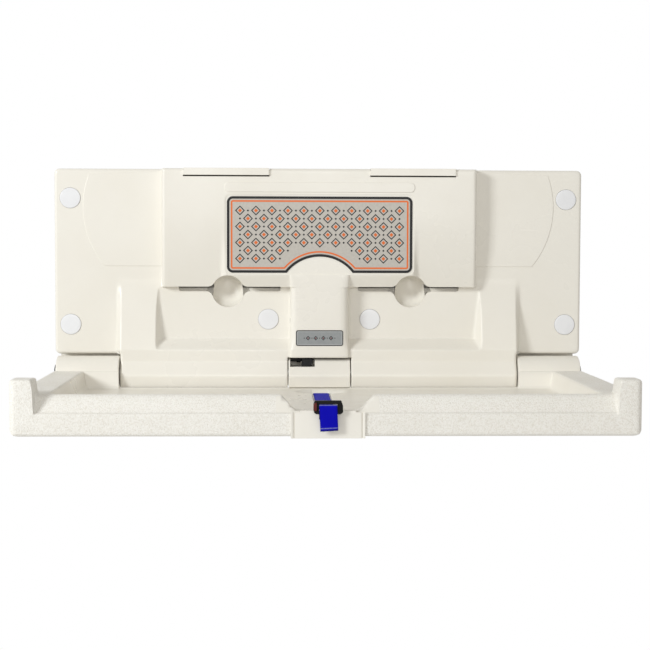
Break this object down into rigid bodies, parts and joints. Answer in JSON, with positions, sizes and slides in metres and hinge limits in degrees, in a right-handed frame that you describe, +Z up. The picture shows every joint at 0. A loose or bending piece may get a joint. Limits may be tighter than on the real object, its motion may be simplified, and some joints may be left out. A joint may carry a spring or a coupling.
{
  "type": "baby changing station",
  "caption": "Wall-hung baby changing station: moulded wall panel with liner bins and lids, a fold-down tray on a rod hinge with a gas spring, and a safety strap with buckle.",
  "frame": {"origin": "on the wall plane, in the middle of the width, at the height of the tray's hinge axis", "axes": "+X to the right seen from the front, +Y into the wall, +Z up"},
  "size_m": [0.902, 0.488, 0.4038],
  "materials": {
    "cream_plastic": "cream moulded polyethylene, smooth inside, fine stipple on the tray's outer faces",
    "white_plastic": "white moulded plastic, satin",
    "black_plastic": "black moulded nylon, satin",
    "zinc_steel": "zinc-plated steel",
    "black_steel": "black powder-coated steel",
    "chrome_rod": "hard-chromed steel rod",
    "blue_webbing": "woven nylon webbing, deep blue",
    "red_plastic": "dark red moulded plastic",
    "label_print": "printed sheet: charcoal edge, orange band, grey field",
    "badge_print": "blank grey printed sheet"
  },
  "bodies": {
    "wall_unit": {"wall_panel": "cream_plastic", "backplate": "zinc_steel", "screw_cap_upper_left": "white_plastic", "screw_cap_upper_right": "white_plastic", "screw_cap_lower_left": "white_plastic", "screw_cap_lower_right": "white_plastic", "screw_cap_inner_left": "white_plastic", "screw_cap_inner_right": "white_plastic", "label_plate": "label_print", "badge_plate": "badge_print", "lid_pin_left": "zinc_steel", "lid_pin_right": "zinc_steel", "hinge_rod": "zinc_steel", "rod_cap_left": "black_plastic", "rod_cap_right": "black_plastic", "barrel_sleeve_left": "zinc_steel", "barrel_sleeve_right": "zinc_steel", "spring_bracket": "zinc_steel", "spring_pin": "zinc_steel"},
    "tray": {"tray_shell": "cream_plastic", "tray_base": "cream_plastic", "front_grip_plate": "cream_plastic", "tray_sleeve_left": "zinc_steel", "tray_sleeve_centre": "zinc_steel", "tray_sleeve_right": "zinc_steel", "crank_block": "black_steel", "safety_strap": "blue_webbing", "strap_anchor": "zinc_steel", "anchor_screw_left": "zinc_steel", "anchor_screw_right": "zinc_steel", "buckle_frame": "black_plastic", "buckle_tab": "black_plastic"},
    "lid_left": {"liner_lid_left": "cream_plastic"},
    "lid_right": {"liner_lid_right": "cream_plastic"},
    "spring_cylinder": {"gas_spring_cylinder": "black_steel", "gas_spring_gland": "zinc_steel"},
    "spring_rod": {"gas_spring_rod": "chrome_rod", "crank_pin": "black_steel"},
    "button": {"release_button": "red_plastic"}
  },
  "joints": [
    {"name": "tray_fold", "type": "hinge", "parent": "wall_unit", "child": "tray", "pos_m": [0, -0.046, 0], "axis": [-1, 0, 0], "range_deg": [0, 90]},
    {"name": "lid_left_lift", "type": "hinge", "parent": "wall_unit", "child": "lid_left", "pos_m": [-0.158, -0.013, 0.3445], "axis": [-1, 0, 0], "range_deg": [0, 85]},
    {"name": "lid_right_lift", "type": "hinge", "parent": "wall_unit", "child": "lid_right", "pos_m": [0.158, -0.013, 0.3445], "axis": [-1, 0, 0], "range_deg": [0, 85]},
    {"name": "spring_swing", "type": "hinge", "parent": "wall_unit", "child": "spring_cylinder", "pos_m": [-0.035, -0.034, 0.185], "axis": [1, 0, 0], "range_deg": [0, 6]},
    {"name": "spring_stroke", "type": "slide", "parent": "spring_cylinder", "child": "spring_rod", "axis": [0, -0.049, -0.9988], "range_m": [0, 0.022]},
    {"name": "button_press", "type": "slide", "parent": "tray", "child": "button", "axis": [1, 0, 0], "range_m": [0, 0.002], "stiffness_N_per_m": 300}
  ],
  "couplings": [
    {"joint": "spring_swing", "follows": "tray_fold", "ratio": 0.066214},
    {"joint": "spring_stroke", "follows": "tray_fold", "m_per_rad": 0.013846}
  ]
}
